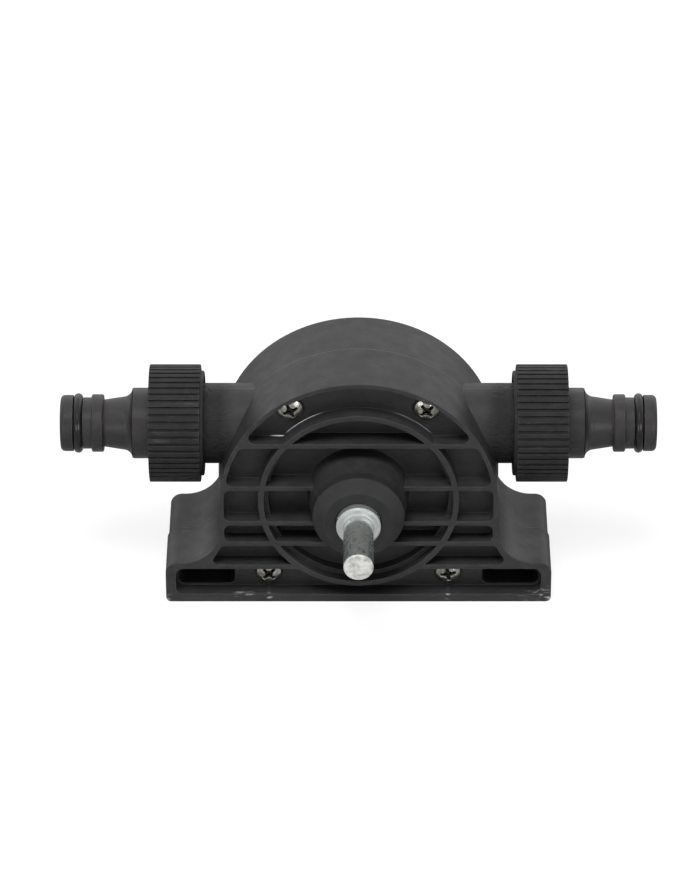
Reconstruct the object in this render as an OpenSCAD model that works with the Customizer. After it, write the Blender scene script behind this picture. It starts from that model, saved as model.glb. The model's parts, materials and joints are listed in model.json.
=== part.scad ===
// Drill powered pump with two hose spouts, in millimetres.
// The origin is the centre of the underside. X runs through both spouts, Y runs from
// the drill side to the rear cover, and Z is up. The mould line of the body lies at y = 0.

/* [Body] */
// Depth of the body from its front face to its rear face
body_depth = 35; // [34:0.5:42]
// Height of the shaft axis above the underside
shaft_z = 32; // [31.5:0.25:33]
// Distance of the drum's centre below the shaft axis
drum_drop = 0.6; // [0.3:0.1:1]
// Outer radius of the drum at its front and rear faces
drum_r = 37.3; // [37:0.1:39]
// Extra radius of the drum at the mould line
mould_swell = 0.5; // [0.2:0.1:0.9]
// Thickness of the drum's rim round the front pockets
rim_wall = 1.3; // [1.1:0.1:2]
// Depth of the front pockets outside the ring
pocket_depth = 4.5; // [3.5:0.25:5]
// Depth of the front pocket inside the ring
ring_floor_depth = 6; // [5.25:0.25:7]
// Thickness of the wall behind the front pockets
web_t = 2.5; // [2.25:0.25:3]

/* [Front ring and ribs] */
// Outer radius of the ring on the front face
ring_r = 26.9; // [26.5:0.1:27.5]
// Width of the ring's front face
ring_wall = 1.6; // [1.2:0.1:2.2]
// Width of the ledge inside the ring
ledge_w = 1.2; // [1:0.1:2.5]
// Depth of the ledge below the front face
ledge_depth = 3; // [1.5:0.25:3.5]
// Thickness of the ribs across the front
rib_t = 1.4; // [1:0.1:2]
// Height of the first rib, above the boss
rib1_z = 49.4; // [48.5:0.1:50.5]
// Height of the second rib
rib2_z = 36.1; // [35:0.1:37]
// Height of the third rib
rib3_z = 25.1; // [24.5:0.1:26]
// Height of the fourth rib
rib4_z = 18.6; // [18:0.1:19.2]
// Height of the fifth rib, over the bottom pocket
rib5_z = 11.2; // [11:0.1:12]
// Corner radius of the front pockets
pocket_corner_r = 1.8; // [1:0.1:2.2]

/* [Base and feet] */
// Width of the base over both feet
base_w = 104; // [102:0.5:110]
// Height of the feet at their tops
foot_top_z = 12.4; // [12.2:0.1:13]
// Radius of the sweep from the foot up to the drum's side
sweep_r = 10.2; // [9:0.1:11]
// Radius on the outer top edge of each foot
foot_edge_r = 3.2; // [2:0.1:3.6]
// Radius on the outer bottom edge of each foot
base_edge_r = 1.5; // [1:0.1:2]
// Thickness of the floor below the bottom pocket
floor_t = 2.5; // [2.25:0.05:3]
// Thickness of the outer end wall of each foot
foot_end_wall = 2.8; // [2:0.1:3.5]
// Half the width of the wall behind the bottom pocket
web_half_w = 33.5; // [32.5:0.1:34]
// Depth of the deep front pocket in each foot
foot_pocket_depth = 20; // [14:0.5:22]
// Step between the front and rear halves of the base at the mould line
mould_step = 0.35; // [0.1:0.05:0.5]

/* [Boss] */
// Radius of the boss at its front edge
boss_r = 12.25; // [12:0.05:12.75]
// Radius of the boss where it meets the floor of the ring
boss_root_r = 13.6; // [13:0.1:14.5]
// Distance from the front face to the boss's front edge
boss_edge_reach = 7.5; // [6.5:0.1:8.5]
// Distance from the front face to the boss's flat nose
boss_reach = 10.5; // [9.5:0.1:11.5]
// Radius of the boss's flat nose
boss_nose_r = 9.15; // [8.8:0.05:10]

/* [Chamber] */
// Radius of the pump chamber
chamber_r = 25; // [24.5:0.1:25.3]
// Thickness of the wall round the chamber
chamber_wall = 3; // [2.8:0.1:3.2]
// Distance that the cam reduces the chamber's radius at its middle
cam_rise = 4.5; // [3.5:0.1:5]
// Radius of the cam's face
cam_face_r = 45; // [40:1:55]

/* [Spouts] */
// Height of the spout axis above the shaft axis
spout_rise = 14; // [13.5:0.1:14.5]
// Outer radius of the spout pipes
pipe_r = 10.8; // [10.2:0.1:11.2]
// Radius of the water way through the spouts
port_r = 7; // [6:0.1:7.4]
// Radius of the spout's threaded end, over the thread
thread_r = 13.2; // [13:0.05:13.4]
// Length of the spout's threaded end
thread_len = 6.9; // [6:0.1:7.5]
// Length of bare pipe between the drum's side and the union nut
pipe_len = 3.55; // [3:0.05:6]

/* [Union nuts] */
// Outer radius of the union nuts over their ribs
nut_r = 15.8; // [15.5:0.1:16.5]
// Height of the grip ribs
nut_rib_h = 0.6; // [0.4:0.1:0.9]
// Number of grip ribs round each nut
nut_rib_count = 50; // [40:1:54]
// Distance that the nut reaches back over the spout from the spout's end
nut_back_reach = 8.75; // [8.5:0.05:9.4]
// Thickness of the nut's outer end wall
nut_lip_t = 2; // [1.6:0.1:2.6]
// Chamfer on the ends of the nut
nut_chamfer = 0.3; // [0.1:0.05:0.6]
// Outer radius of the plain skirt behind the ribs
nut_skirt_r = 14.1; // [14:0.05:14.8]
// Length of the plain skirt behind the ribs
nut_skirt = 0.95; // [0.6:0.05:1.2]

/* [Hose adaptors] */
// Thickness of the rubber washer inside each nut
washer_t = 2; // [1.6:0.1:2.4]
// Radius of the adaptor's flange inside the nut
flange_r = 12.6; // [12.3:0.1:12.8]
// Thickness of the adaptor's flange
flange_t = 1.8; // [1.6:0.1:2.2]
// Radius of the adaptor's big end
adaptor_r = 9.5; // [9.2:0.05:9.7]
// Distance that the adaptor's big end stands out of the nut
big_end_len = 4.6; // [4:0.1:6]
// Radius of the concave flare behind the big end
flare_r = 2.6; // [2.2:0.1:3]
// Radius of the neck beside the collar
neck_r = 6.3; // [6.1:0.05:6.6]
// Length of the tapering neck
neck_len = 5.15; // [4.5:0.05:6]
// Radius of the collar
collar_r = 7.75; // [7.6:0.05:7.8]
// Width of the collar
collar_w = 3.2; // [2.8:0.1:3.6]
// Radius of the land between the collar and the ring groove
land_r = 6.9; // [6.7:0.05:7.1]
// Width of the land between the collar and the ring groove
land_w = 2.25; // [2:0.05:2.5]
// Outer radius of the hose sealing ring
hose_ring_r = 8; // [7.9:0.05:8.1]
// Cord diameter of the hose sealing ring
hose_ring_d = 2.4; // [2.2:0.05:2.6]
// Radius of the adaptor's tip
tip_r = 7.55; // [7.4:0.05:7.6]
// Length of the adaptor's tip in front of the sealing ring
tip_len = 3.4; // [3:0.1:4]
// Radius of the tip's rounded edge
tip_edge_r = 1.2; // [0.6:0.1:1.6]
// Radius of the water way through the adaptor
hose_bore_r = 4.25; // [4.1:0.05:4.4]

/* [Shaft and bearings] */
// Radius of the shank that the drill chuck grips
shank_r = 4; // [3.9:0.05:4.2]
// Length of the shank
shank_len = 19.3; // [18:0.1:22]
// Radius of the shaft's front journal
journal_r = 6; // [5.8:0.05:6.1]
// Distance that the journal stands out of the boss
journal_reach = 2.2; // [1.5:0.1:3]
// Radius of the shaft inside the impeller hub
drive_r = 5; // [4.8:0.05:5.2]
// Radius of the shaft's rear journal
rear_journal_r = 4; // [3.8:0.05:4.1]
// Outer radius of the front bushing
front_bush_r = 8; // [7.8:0.05:8.2]
// Length of the front bushing
front_bush_len = 10; // [9:0.1:11]
// Outer radius of the rear bushing
rear_bush_r = 6; // [5.8:0.05:6.2]
// Outer radius of the shaft seal
seal_r = 11; // [10.8:0.05:11.1]
// Length of the shaft seal
seal_len = 7; // [6.5:0.1:7]
// Running clearance on the radius of a journal
run_gap = 0.03; // [0.02:0.01:0.05]

/* [Impeller] */
// Number of vanes on the impeller
vane_count = 6; // [5:1:6]
// Radius of the rubber hub
rubber_hub_r = 11.5; // [11:0.1:12]
// Thickness of a vane
vane_t = 2.2; // [1.8:0.1:2.6]
// Radius of the bead on each vane's tip
vane_bead_r = 1.5; // [1.3:0.1:1.7]
// Length of a vane from the hub to the centre of its bead
vane_len = 13.2; // [12.8:0.1:14]
// Distance across the corners of the hexagonal metal hub, as a radius
metal_hub_r = 8.5; // [8.2:0.1:8.8]
// Clearance between the vanes and the chamber
vane_gap = 0.2; // [0.1:0.05:0.4]

/* [Cover and screws] */
// Depth of the rear cover
cover_depth = 7.5; // [7:0.25:8.5]
// Thickness of the cover's plate
cover_plate_t = 3; // [2.5:0.1:3.5]
// Thickness of the drum's rim round the cover
rear_rim_wall = 1.5; // [1.3:0.1:1.7]
// Gap round the cover
cover_gap = 0.15; // [0.1:0.05:0.25]
// Distance of the upper screws from the middle of the pump
upper_screw_x = 18.1; // [17.5:0.1:18.5]
// Height of the upper screws
upper_screw_z = 58.7; // [58:0.1:58.8]
// Distance of the lower screws from the middle of the pump
lower_screw_x = 24.2; // [23.5:0.1:25]
// Height of the lower screws
lower_screw_z = 7.1; // [6.9:0.1:7.2]
// Radius of the screw heads
screw_head_r = 3.5; // [3.1:0.05:3.6]
// Height of the screw heads
screw_head_h = 2.3; // [1.9:0.1:2.6]
// Radius of the screw shanks
screw_r = 1.9; // [1.7:0.05:2]

/* [Hidden] */

$fn = 96;
// Overrun of a cut past the face that it opens
over = 1;

// Depth positions in the body
y_front = -body_depth / 2;
y_rear = body_depth / 2;
web_y = y_front + pocket_depth;
core_y = web_y + web_t;
ring_floor_y = y_front + ring_floor_depth;
chamber_y0 = ring_floor_y + web_t;
chamber_y1 = y_rear - cover_depth;
nose_y = y_front - boss_reach;
journal_y = nose_y - journal_reach;
shank_y = journal_y - shank_len;

// Body sizes that follow from the driving ones
drum_z = shaft_z - drum_drop;
pocket_r = drum_r - rim_wall;
ring_in_r = ring_r - ring_wall;
ledge_r = ring_in_r - ledge_w;
half_base = base_w / 2;
foot_pocket_x = half_base - foot_end_wall;
spout_z = shaft_z + spout_rise;
// Corner radius at the ends of the bottom pockets
low_corner_r = 2.2;
// Ledge between the edge of the bottom pocket and the deep pocket in each foot
deep_pocket_inset = 0.6;
// Thickness of the plastic between the front and rear pockets of a foot
foot_septum = 3;
// Wall beside the rear pocket of a foot
foot_inner_wall = 2;
// Ends of the pocket between the fourth and fifth ribs, which lean out along the sweep
slant_lean = 3.4;
slant_top_x = pocket_r + rim_wall / 2;
slant_low_x = slant_top_x + slant_lean;
// Thickness of the drum's wall round the hidden hollow
shell_wall = 3;
core_r = drum_r - shell_wall;
core_low_x = web_half_w - foot_inner_wall;
core_step_z = rib5_z + rib_t;
core_floor_z = floor_t + foot_inner_wall;
// Width of the keel between the chamber wall and the floor
keel_w = 8;
post_r = 3.6;

// Rear cover
recess_r = drum_r - rear_rim_wall;
cover_r = recess_r - cover_gap;
recess_z = floor_t + cover_gap;
cover_corner_r = 2.5;
cover_sink = 0.3;
cover_y1 = y_rear - cover_sink;
cover_plate_y = chamber_y1 + cover_plate_t;
cover_rim = 2;
cover_rib_t = 1.6;
cover_rib_count = 8;
cover_ring_r = 25;
cover_boss_r = 9;
cover_screw_boss_r = 4.2;

// Screws run from the wall behind the front pockets to a blind hole in the cover
screw_seat_gap = 0.24;
screw_seat_r = screw_head_r + screw_seat_gap;
screw_sink = 0.3;
screw_head_y = web_y + screw_sink;
screw_end_wall = 2.5;
screw_tip_y = y_rear - screw_end_wall;
screw_hole_gap = 0.3;
screw_hole_r = screw_r + screw_hole_gap;
screw_bite_gap = 0.05;
screw_bite_r = screw_r + screw_bite_gap;
screw_cross_l = 4.2;
screw_cross_w = 1;
screw_cross_depth = 1.3;
screw_mark_w = 0.6;
screw_mark_h = 0.35;
screw_places = [[upper_screw_x, upper_screw_z], [-upper_screw_x, upper_screw_z],
    [lower_screw_x, lower_screw_z], [-lower_screw_x, lower_screw_z]];
// Turn of each screw's cross, as the assembly left it
screw_turns = [40, 25, 10, 45];

// Bearings, seals and washers
fit_gap = 0.02;
cover_seal_w = 1.5;
cover_seal_depth = 1.4;
cover_seal_gap = 0.08;
boss_hole_gap = 0.15;
boss_hole_r = journal_r + boss_hole_gap;
seal_y0 = chamber_y0 - seal_len;
bush_y0 = seal_y0 - front_bush_len;
bush_end_wall = 2;
rear_bush_y1 = cover_y1 - bush_end_wall;
seal_wall = 1.4;
lip_t = 1;
lip_reach = 1;
garter_r = 0.6;
garter_mid_r = journal_r + lip_t + 2 * garter_r;
garter_y = chamber_y0 - lip_reach - garter_r;
thrust_t = 1;
thrust_r = 13;
thrust_y1 = chamber_y0 + thrust_t;

// Rotor
hub_gap = 0.1;
hub_y0 = thrust_y1 + hub_gap;
ring_t = 1;
ring_groove = 0.4;
ring_spare = 0.9;
hub_y1 = chamber_y1 - ring_t - ring_spare;
clip_y0 = hub_y1 + hub_gap / 2;
clip_y1 = clip_y0 + ring_t;
clip_r = metal_hub_r - drive_r / 4;
shaft_step_y = chamber_y1 - hub_gap;
shank_chamfer = 0.4;
shank_root_r = 0.6;
journal_chamfer = 0.5;
key_w = 3;
key_h = 3;
key_end_gap = 2;
key_len = hub_y1 - hub_y0 - 2 * key_end_gap;
vane_y0 = chamber_y0 + vane_gap;
vane_y1 = chamber_y1 - vane_gap;
free_tip_r = chamber_r - vane_gap - vane_bead_r;
cam_tip_r = free_tip_r - cam_rise;
// Angle of the first vane's root: its tip lies under the cam and the next vane's is past the cam
first_vane_angle = 66;
vane_step = 360 / vane_count;

// Cam: a larger circle centred below the shaft cuts the top off the chamber
cam_centre_z = shaft_z + chamber_r - cam_rise - cam_face_r;
port_start_share = 0.6;
port_start_x = chamber_r * port_start_share;

// Spout, nut and adaptor positions along x
nut_x0 = drum_r + mould_swell + pipe_len;
spout_reach = nut_x0 + nut_back_reach;
thread_x = spout_reach - thread_len;
flange_x = spout_reach + washer_t;
flange_end = flange_x + flange_t;
nut_gap = 0.1;
nut_lip_x = flange_end + nut_gap;
nut_x1 = nut_lip_x + nut_lip_t;
thread_gap = 0.07;
nut_bore_r = thread_r + thread_gap;
nut_hole_gap = 0.2;
nut_hole_r = adaptor_r + nut_hole_gap;
// Foot, flank and crest of a grip rib, as shares of one step
nut_rib_shares = [0.07, 0.33, 0.4, 1];
// Turn at which each tightened nut stands
left_nut_turn = -2.25;
right_nut_turn = 1.25;
big_end_x = nut_x1 + big_end_len;
flare_x = big_end_x + flare_r;
neck_taper_share = 0.155;
flare_base_r = neck_r + neck_len * neck_taper_share;
collar_x = flare_x + neck_len;
land_x = collar_x + collar_w;
groove_x = land_x + land_w;
groove_gap = 0.15;
groove_end = groove_x + hose_ring_d + 2 * groove_gap;
tip_x = groove_end + tip_len;
hose_ring_mid_r = hose_ring_r - hose_ring_d / 2;
groove_r = hose_ring_r - hose_ring_d - fit_gap;
wide_bore_r = 7;
collar_edge = 0.3;
washer_bore_r = 8;

black_plastic = "#323232";
warm_plastic = "#332f2d";
rubber = "#181818";
steel = "#c9ccd0";
brass = "#b08d4a";

// Turn that keeps the seam of a spout's surface off the mould line
seam_turn = 50;

// Shape helpers
module along_y(y0, y1) {
    translate([0, y1, 0]) rotate([90, 0, 0]) linear_extrude(height = y1 - y0) children();
}

// A profile of [radius, y] points, turned about the shaft axis or a line parallel to it
module turned(profile, x = 0, z = shaft_z) {
    translate([x, 0, z]) rotate([90, 0, 0]) rotate_extrude()
        polygon([for (p = profile) [p[0], -p[1]]]);
}

// A profile of [radius, distance from the middle] points, turned about the spout axis
module turned_spout(side, profile) {
    translate([0, 0, spout_z]) rotate([0, side * 90, 0]) rotate(seam_turn)
        rotate_extrude() polygon(profile);
}

module bar(x0, x1, z0, z1) {
    translate([x0, z0]) square([x1 - x0, z1 - z0]);
}

module both_sides() {
    children();
    mirror([1, 0, 0]) children();
}

function unit(v) = v / norm(v);
function arc_points(centre, r, a0, a1, n) =
    [for (i = [0:n]) centre + r * [cos(a0 + (a1 - a0) * i / n), sin(a0 + (a1 - a0) * i / n)]];

// What rounding takes off a corner at b, between the directions to a and to c
module corner_rest(a, b, c, r) {
    u = unit(a - b);
    v = unit(c - b);
    half = acos(u * v) / 2;
    centre = b + unit(u + v) * r / sin(half);
    difference() {
        polygon([b - unit(u + v) * r, b + u * r / tan(half), centre, b + v * r / tan(half)]);
        translate(centre) circle(r);
    }
}

// The same between a level line and the inside of the circle of radius big_r at drum_z
module arc_corner_rest(line_z, up, big_r, r) {
    centre_z = line_z + up * r;
    centre_x = sqrt(pow(big_r - r, 2) - pow(centre_z - drum_z, 2));
    touch = [0, drum_z] + [centre_x, centre_z - drum_z] * (big_r + r) / (big_r - r);
    corner = [sqrt(pow(big_r, 2) - pow(line_z - drum_z, 2)), line_z];
    difference() {
        polygon([[centre_x, line_z], corner + [r, 0], touch, [centre_x, centre_z]]);
        translate([centre_x, centre_z]) circle(r);
    }
}

module rounded_bar(x0, x1, z0, z1, r) {
    difference() {
        bar(x0, x1, z0, z1);
        corner_rest([x0, z1], [x0, z0], [x1, z0], r);
        corner_rest([x1, z1], [x1, z0], [x0, z0], r);
        corner_rest([x0, z0], [x0, z1], [x1, z1], r);
        corner_rest([x1, z0], [x1, z1], [x0, z1], r);
    }
}

// An arch with level feet: half a circle on top of straight sides
module arch(r, z0, corner) {
    intersection() {
        translate([0, drum_z]) circle(r);
        bar(-r, r, drum_z, drum_z + r);
    }
    difference() {
        bar(-r, r, z0, drum_z);
        corner_rest([-r, drum_z], [-r, z0], [r, z0], corner);
        corner_rest([r, drum_z], [r, z0], [-r, z0], corner);
    }
}

// Pump body
module drum_mass() {
    intersection() {
        translate([0, 0, drum_z]) rotate([90, 0, 0]) union() {
            translate([0, 0, -y_rear]) cylinder(h = y_rear, r1 = drum_r, r2 = drum_r + mould_swell);
            cylinder(h = -y_front, r1 = drum_r + mould_swell, r2 = drum_r);
        }
        translate([-base_w / 2, -body_depth, drum_z]) cube([base_w, 2 * body_depth, 2 * drum_r]);
    }
    mid_w = drum_r + mould_swell;
    linear_extrude(height = drum_z) polygon([[-drum_r, y_front], [drum_r, y_front],
        [mid_w, 0], [drum_r, y_rear], [-drum_r, y_rear], [-mid_w, 0]]);
}

module foot_outline(half_w) {
    both_sides() {
        difference() {
            bar(0, half_w, 0, foot_top_z);
            corner_rest([0, foot_top_z], [half_w, foot_top_z], [half_w, 0], foot_edge_r);
            corner_rest([0, 0], [half_w, 0], [half_w, foot_top_z], base_edge_r);
        }
        difference() {
            bar(core_r, drum_r + sweep_r, foot_top_z - rib_t, foot_top_z + sweep_r);
            translate([drum_r + sweep_r, foot_top_z + sweep_r]) circle(sweep_r);
        }
    }
}

module front_ribs() {
    for (z = [rib1_z, rib2_z, rib3_z, rib4_z]) bar(-base_w, base_w, z - rib_t / 2, z + rib_t / 2);
}

// The pockets of the front face outside the ring
module front_pockets() {
    half_rib = rib_t / 2;
    r = pocket_corner_r;
    difference() {
        union() {
            intersection() {
                translate([0, drum_z]) circle(pocket_r);
                bar(-drum_r, drum_r, drum_z, drum_z + drum_r);
            }
            bar(-pocket_r, pocket_r, rib4_z, drum_z);
            both_sides() slanted_pocket();
            rounded_bar(-foot_pocket_x, foot_pocket_x, floor_t, rib5_z - half_rib, low_corner_r);
        }
        front_ribs();
        translate([0, shaft_z]) circle(ring_r);
        both_sides() {
            arc_corner_rest(rib1_z + half_rib, 1, pocket_r, r);
            arc_corner_rest(rib1_z - half_rib, -1, pocket_r, r);
            arc_corner_rest(rib2_z + half_rib, 1, pocket_r, r);
            corner_rest([pocket_r, 0], [pocket_r, rib2_z - half_rib], [0, rib2_z - half_rib], r);
            corner_rest([pocket_r, drum_z], [pocket_r, rib3_z + half_rib], [0, rib3_z + half_rib], r);
            corner_rest([pocket_r, 0], [pocket_r, rib3_z - half_rib], [0, rib3_z - half_rib], r);
            corner_rest([pocket_r, drum_z], [pocket_r, rib4_z + half_rib], [0, rib4_z + half_rib], r);
        }
    }
}

// The pocket between the fourth and fifth ribs, whose end leans out along the sweep
module slanted_pocket() {
    top_z = rib4_z - rib_t / 2;
    low_z = rib5_z + rib_t / 2;
    top = [slant_top_x, top_z];
    low = [slant_low_x, low_z];
    difference() {
        polygon([[0, low_z], low, top, [0, top_z]]);
        corner_rest([0, top_z], top, low, rib_t);
        corner_rest([0, low_z], low, top, rib_t);
    }
}

module ring_pocket(r) {
    difference() {
        translate([0, shaft_z]) circle(r);
        front_ribs();
    }
}

module boss_mass() {
    turned([[0, chamber_y0], [boss_root_r, chamber_y0], [boss_root_r, ring_floor_y],
        [boss_r, y_front - boss_edge_reach], [boss_nose_r, nose_y], [0, nose_y]]);
}

module spout_mass(side) {
    turned_spout(side, [[0, port_start_x], [pipe_r, port_start_x], [pipe_r, thread_x - collar_edge],
        [thread_r - collar_edge * 2, thread_x], [thread_r, thread_x + collar_edge * 2],
        [thread_r, spout_reach - collar_edge * 2], [thread_r - collar_edge * 2, spout_reach],
        [0, spout_reach]]);
}

module spout_core() {
    for (side = [-1, 1]) turned_spout(side, [[0, port_start_x], [pipe_r, port_start_x],
        [pipe_r, drum_r], [0, drum_r]]);
}

// The hidden hollow between the chamber wall and the outer wall
module core_hollow() {
    difference() {
        along_y(core_y, chamber_y1 + over) difference() {
            union() {
                intersection() {
                    translate([0, drum_z]) circle(core_r);
                    bar(-core_r, core_r, drum_z, drum_z + core_r);
                }
                bar(-core_r, core_r, core_step_z, drum_z);
                bar(-core_low_x, core_low_x, core_floor_z, core_step_z);
            }
            translate([0, shaft_z]) circle(chamber_r + chamber_wall);
            for (p = screw_places) translate(p) circle(post_r);
            bar(-keel_w / 2, keel_w / 2, 0, drum_z + drum_r);
        }
        spout_core();
    }
}

module chamber_hollow() {
    along_y(chamber_y0, chamber_y1 + over) intersection() {
        translate([0, shaft_z]) circle(chamber_r);
        translate([0, cam_centre_z]) circle(cam_face_r);
    }
    for (side = [-1, 1]) turned_spout(side, [[0, port_start_x], [port_r, port_start_x],
        [port_r, spout_reach + over], [0, spout_reach + over]]);
}

module foot_pockets() {
    rear_pocket_y = y_front + foot_pocket_depth + foot_septum;
    low_z = rib5_z - rib_t / 2;
    both_sides() {
        along_y(web_y - over, y_front + foot_pocket_depth)
            rounded_bar(web_half_w, foot_pocket_x - deep_pocket_inset, floor_t + deep_pocket_inset,
                low_z - deep_pocket_inset, low_corner_r - deep_pocket_inset);
        along_y(rear_pocket_y, y_rear + over)
            rounded_bar(drum_r + foot_inner_wall, foot_pocket_x, floor_t, low_z, low_corner_r);
    }
}

module screw_seats() {
    for (p = screw_places) {
        turned([[0, web_y - over], [screw_seat_r, web_y - over], [screw_seat_r, screw_head_y],
            [screw_hole_r, screw_head_y], [screw_hole_r, chamber_y1 + over], [0, chamber_y1 + over]],
            p[0], p[1]);
    }
    for (side = [-1, 1]) turned([[0, y_front - over], [screw_seat_r, y_front - over],
        [screw_seat_r, screw_head_y], [0, screw_head_y]], side * upper_screw_x, upper_screw_z);
}

// A ring in the end of the chamber wall, under the cover
module cover_seal_ring(half_w, y1) {
    mid_r = chamber_r + chamber_wall / 2;
    y0 = chamber_y1 - cover_seal_depth;
    turned([[mid_r - half_w, y0], [mid_r + half_w, y0], [mid_r + half_w, y1], [mid_r - half_w, y1]]);
}

module shaft_bores() {
    turned([[0, nose_y - over], [boss_hole_r, nose_y - over], [boss_hole_r, bush_y0],
        [front_bush_r + fit_gap, bush_y0], [front_bush_r + fit_gap, seal_y0],
        [seal_r + fit_gap, seal_y0], [seal_r + fit_gap, chamber_y0 + over], [0, chamber_y0 + over]]);
}

module pump_body() {
    color(black_plastic) difference() {
        union() {
            difference() {
                union() {
                    drum_mass();
                    along_y(y_front, 0) foot_outline(half_base);
                    along_y(0, y_rear) foot_outline(half_base - mould_step);
                }
                along_y(y_front - over, web_y) front_pockets();
                along_y(y_front - over, y_front + ledge_depth) ring_pocket(ring_in_r);
                along_y(y_front - over, ring_floor_y) ring_pocket(ledge_r);
            }
            boss_mass();
            for (side = [-1, 1]) spout_mass(side);
            for (side = [-1, 1]) along_y(y_front + screw_mark_w, web_y)
                translate([side * lower_screw_x - screw_mark_w / 2, floor_t - screw_mark_h])
                    square([screw_mark_w, 2 * screw_mark_h]);
        }
        foot_pockets();
        core_hollow();
        chamber_hollow();
        along_y(chamber_y1, y_rear + over) arch(recess_r, recess_z, cover_corner_r);
        shaft_bores();
        screw_seats();
        cover_seal_ring(cover_seal_w / 2 + cover_seal_gap, chamber_y1 + over);
    }
}

// Rear cover, held by the four screws from the front
module cover_ribs() {
    difference() {
        translate([0, shaft_z]) circle(cover_ring_r);
        translate([0, shaft_z]) circle(cover_ring_r - cover_rib_t);
    }
    for (i = [0:cover_rib_count - 1]) translate([0, shaft_z]) rotate(i * 360 / cover_rib_count)
        translate([0, -cover_rib_t / 2]) square([base_w, cover_rib_t]);
    translate([0, shaft_z]) circle(cover_boss_r);
    for (p = screw_places) translate(p) circle(cover_screw_boss_r);
}

module rear_cover() {
    color(black_plastic) difference() {
        along_y(chamber_y1, cover_y1) arch(cover_r, recess_z + cover_gap, cover_corner_r);
        along_y(cover_plate_y, cover_y1 + over) difference() {
            arch(cover_r - cover_rim, recess_z + cover_gap + cover_rim, cover_corner_r);
            cover_ribs();
        }
        turned([[0, chamber_y1 - over], [rear_bush_r + fit_gap, chamber_y1 - over],
            [rear_bush_r + fit_gap, rear_bush_y1], [0, rear_bush_y1]]);
        for (p = screw_places) turned([[0, chamber_y1 - over], [screw_bite_r, chamber_y1 - over],
            [screw_bite_r, screw_tip_y + screw_bite_gap], [0, screw_tip_y + screw_bite_gap]], p[0], p[1]);
    }
}

module cover_seal() {
    color(rubber) cover_seal_ring(cover_seal_w / 2, chamber_y1);
}

// Four pan head screws with a cross recess
module housing_screws() {
    head_y = screw_head_y - screw_head_h;
    shoulder_y = screw_head_y - screw_head_h / 3;
    color(steel) for (i = [0:len(screw_places) - 1]) let (p = screw_places[i]) difference() {
        turned(concat([[0, head_y], [screw_head_r / 2, head_y]],
            [for (a = [15:15:90]) [screw_head_r / 2 * (1 + sin(a)),
                shoulder_y - (shoulder_y - head_y) * cos(a)]],
            [[screw_head_r, screw_head_y], [screw_r, screw_head_y], [screw_r, screw_tip_y - screw_r],
            [screw_r / 3, screw_tip_y], [0, screw_tip_y]]), p[0], p[1]);
        along_y(head_y - over, head_y + screw_cross_depth) translate(p) rotate(screw_turns[i]) {
            square([screw_cross_l, screw_cross_w], center = true);
            square([screw_cross_w, screw_cross_l], center = true);
        }
    }
}

// Bearings and shaft seal
module front_bushing() {
    color(brass) turned([[journal_r + run_gap, bush_y0], [front_bush_r, bush_y0],
        [front_bush_r, seal_y0], [journal_r + run_gap, seal_y0]]);
}

module rear_bushing() {
    color(brass) turned([[rear_journal_r + run_gap, chamber_y1], [rear_bush_r, chamber_y1],
        [rear_bush_r, rear_bush_y1], [rear_journal_r + run_gap, rear_bush_y1]]);
}

module shaft_seal() {
    lip_r = journal_r + run_gap;
    lip_in_r = lip_r + lip_t;
    lip_out_r = lip_in_r + lip_t;
    lip_y1 = chamber_y0 - lip_reach;
    wall_y = seal_y0 + seal_wall;
    color(rubber) difference() {
        turned([[lip_in_r, seal_y0], [seal_r, seal_y0], [seal_r, chamber_y0],
            [seal_r - seal_wall, chamber_y0], [seal_r - seal_wall, wall_y], [lip_out_r, wall_y],
            [lip_out_r, lip_y1], [lip_in_r, lip_y1], [lip_r, garter_y], [lip_in_r, wall_y]]);
        garter(fit_gap);
    }
}

module garter(extra) {
    translate([0, garter_y, shaft_z]) rotate([90, 0, 0]) rotate_extrude()
        translate([garter_mid_r, 0]) circle(garter_r + extra, $fn = 24);
}

module seal_spring() {
    color(steel) garter(0);
}

module thrust_washer() {
    color(steel) turned([[journal_r + groove_gap, chamber_y0], [thrust_r, chamber_y0],
        [thrust_r, thrust_y1], [journal_r + groove_gap, thrust_y1]]);
}

// Rotor
module key_block(extra) {
    key_y = (hub_y0 + hub_y1) / 2;
    translate([-key_w / 2 - extra, key_y - key_len / 2 - extra, shaft_z + drive_r - key_h / 2])
        cube([key_w + 2 * extra, key_len + 2 * extra, key_h + extra]);
}

module drive_shaft() {
    color(steel) difference() {
        turned(concat(
            [[0, shank_y], [shank_r - shank_chamfer, shank_y], [shank_r, shank_y + shank_chamfer]],
            arc_points([shank_r, journal_y] + [shank_root_r, -shank_root_r], shank_root_r, 180, 90, 4),
            [[journal_r - journal_chamfer, journal_y], [journal_r, journal_y + journal_chamfer],
            [journal_r, thrust_y1], [drive_r, thrust_y1], [drive_r, clip_y0],
            [drive_r - ring_groove, clip_y0], [drive_r - ring_groove, clip_y1], [drive_r, clip_y1],
            [drive_r, shaft_step_y], [rear_journal_r, shaft_step_y],
            [rear_journal_r, rear_bush_y1 - hub_gap], [0, rear_bush_y1 - hub_gap]]));
        key_block(fit_gap);
    }
}

module drive_key() {
    color(steel) key_block(0);
}

module impeller_hub() {
    color(brass) difference() {
        along_y(hub_y0, hub_y1) translate([0, shaft_z]) difference() {
            rotate(30) circle(metal_hub_r, $fn = 6);
            circle(drive_r + fit_gap);
        }
        translate([-key_w / 2 - fit_gap, hub_y0 - over, shaft_z])
            cube([key_w + 2 * fit_gap, hub_y1 - hub_y0 + 2 * over, drive_r + key_h / 2 + fit_gap]);
    }
}

// Radius of the bead's centre on a vane of length vane_len bent through an angle
function tip_radius(bend) = norm([rubber_hub_r + vane_len * sin(bend) / rad(bend),
    vane_len * (1 - cos(bend)) / rad(bend)]);
function rad(a) = a * PI / 180;
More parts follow.
